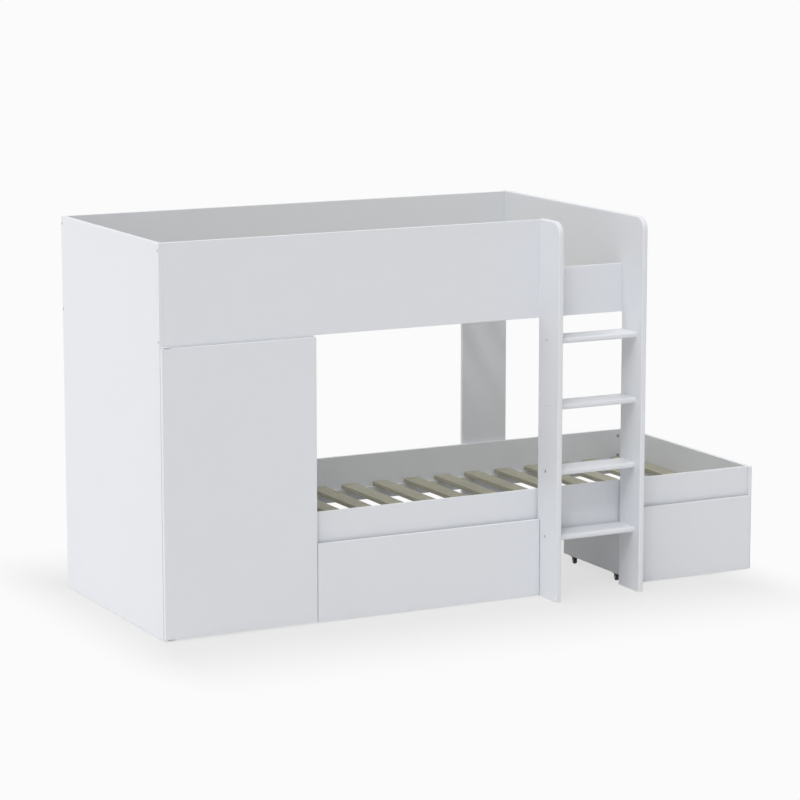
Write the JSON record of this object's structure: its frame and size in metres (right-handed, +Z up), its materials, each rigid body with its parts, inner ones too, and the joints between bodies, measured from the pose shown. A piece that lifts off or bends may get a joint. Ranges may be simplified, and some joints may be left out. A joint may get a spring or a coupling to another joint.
{
  "type": "bunk bed",
  "caption": "White board bunk bed: upper bunk over a wardrobe and a ladder, offset slatted lower bed with roll-out drawers on casters, hinged wardrobe door.",
  "frame": {"origin": "on the floor, under the middle of the bed's bounding box", "axes": "+X along the bed from the wardrobe end to the footboard, +Y from the ladder to the wall, +Z up"},
  "size_m": [2.585, 1.13, 1.484],
  "materials": {
    "white_board": "white melamine facing with a fine satin texture and taped edges",
    "white_hardboard": "hardboard, painted white",
    "slat_wood": "bare planed softwood",
    "cleat_wood": "planed softwood, painted white",
    "dowel_wood": "fluted beech",
    "zinc_steel": "zinc plated",
    "cast_zinc": "raw die cast",
    "chrome_tube": "polished plating",
    "caster_plastic": "moulded, fine spark texture",
    "wheel_plastic": "moulded, scuffed tread",
    "white_nylon": "moulded",
    "grey_plastic": "moulded"
  },
  "bodies": {
    "frame": {"left_end_panel": "white_board", "right_end_panel": "white_board", "left_ladder_stile": "white_board", "ladder_step_1": "white_board", "ladder_step_2": "white_board", "ladder_step_3": "white_board", "ladder_step_4": "white_board", "footboard": "white_board", "rear_leg": "white_board", "upper_front_guard": "white_board", "upper_entry_guard": "white_board", "upper_back_panel": "white_board", "lower_front_rail": "white_board", "lower_back_rail": "white_board", "wardrobe_side_panel": "white_board", "wardrobe_top": "white_board", "wardrobe_floor": "white_board", "wardrobe_shelf": "white_board", "wardrobe_back": "white_hardboard", "upper_front_cleat": "cleat_wood", "upper_back_cleat": "cleat_wood", "lower_front_cleat": "cleat_wood", "lower_back_cleat": "cleat_wood", "upper_slats": "slat_wood", "lower_slats": "slat_wood", "shelf_pins": "zinc_steel", "hanging_rail": "chrome_tube", "hanging_rail_sockets": "chrome_tube", "pivot_plate_bottom": "zinc_steel", "pivot_plate_top": "zinc_steel", "push_latch_housing": "grey_plastic", "panel_screws": "zinc_steel", "rear_leg_screws": "zinc_steel", "cam_locks": "cast_zinc", "cam_pins": "zinc_steel", "wooden_dowels": "dowel_wood", "floor_glides": "white_nylon"},
    "wardrobe_door": {"wardrobe_door": "white_board", "door_pivot_bushes": "white_nylon", "latch_strike": "zinc_steel"},
    "latch_plunger": {"push_latch_plunger": "grey_plastic"},
    "left_drawer": {"left_drawer_front": "white_board", "left_drawer_left_side": "white_board", "left_drawer_right_side": "white_board", "left_drawer_back": "white_board", "left_drawer_bottom": "white_hardboard", "left_drawer_caster_forks": "caster_plastic", "left_drawer_caster_axles": "zinc_steel"},
    "left_front_wheels": {"left_drawer_front_wheels": "wheel_plastic"},
    "left_rear_wheels": {"left_drawer_rear_wheels": "wheel_plastic"},
    "right_drawer": {"right_drawer_front": "white_board", "right_drawer_left_side": "white_board", "right_drawer_right_side": "white_board", "right_drawer_back": "white_board", "right_drawer_bottom": "white_hardboard", "right_drawer_caster_forks": "caster_plastic", "right_drawer_caster_axles": "zinc_steel"},
    "right_front_wheels": {"right_drawer_front_wheels": "wheel_plastic"},
    "right_rear_wheels": {"right_drawer_rear_wheels": "wheel_plastic"}
  },
  "joints": [
    {"name": "wardrobe_door_hinge", "type": "hinge", "parent": "frame", "child": "wardrobe_door", "pos_m": [-1.285, -0.429, 0.008], "axis": [0, 0, -1], "range_deg": [0, 110]},
    {"name": "latch_plunger_slide", "type": "slide", "parent": "frame", "child": "latch_plunger", "axis": [0, -1, 0], "range_m": [0, 0.012]},
    {"name": "left_drawer_slide", "type": "slide", "parent": "frame", "child": "left_drawer", "axis": [0, -1, 0], "range_m": [0, 0.5]},
    {"name": "left_front_wheel_spin", "type": "hinge", "parent": "left_drawer", "child": "left_front_wheels", "pos_m": [-0.187, -0.344, 0.013], "axis": [1, 0, 0], "range_deg": [0, 2210]},
    {"name": "left_rear_wheel_spin", "type": "hinge", "parent": "left_drawer", "child": "left_rear_wheels", "pos_m": [-0.187, -0.014, 0.013], "axis": [1, 0, 0], "range_deg": [0, 2210]},
    {"name": "right_drawer_slide", "type": "slide", "parent": "frame", "child": "right_drawer", "axis": [0, -1, 0], "range_m": [0, 0.5]},
    {"name": "right_front_wheel_spin", "type": "hinge", "parent": "right_drawer", "child": "right_front_wheels", "pos_m": [0.9835, -0.344, 0.013], "axis": [1, 0, 0], "range_deg": [0, 2210]},
    {"name": "right_rear_wheel_spin", "type": "hinge", "parent": "right_drawer", "child": "right_rear_wheels", "pos_m": [0.9835, -0.014, 0.013], "axis": [1, 0, 0], "range_deg": [0, 2210]}
  ],
  "couplings": [
    {"joint": "latch_plunger_slide", "follows": "wardrobe_door_hinge", "m_per_rad": 0.00625},
    {"joint": "left_front_wheel_spin", "follows": "left_drawer_slide", "rad_per_m": 76.923},
    {"joint": "left_rear_wheel_spin", "follows": "left_drawer_slide", "rad_per_m": 76.923},
    {"joint": "right_front_wheel_spin", "follows": "right_drawer_slide", "rad_per_m": 76.923},
    {"joint": "right_rear_wheel_spin", "follows": "right_drawer_slide", "rad_per_m": 76.923}
  ]
}
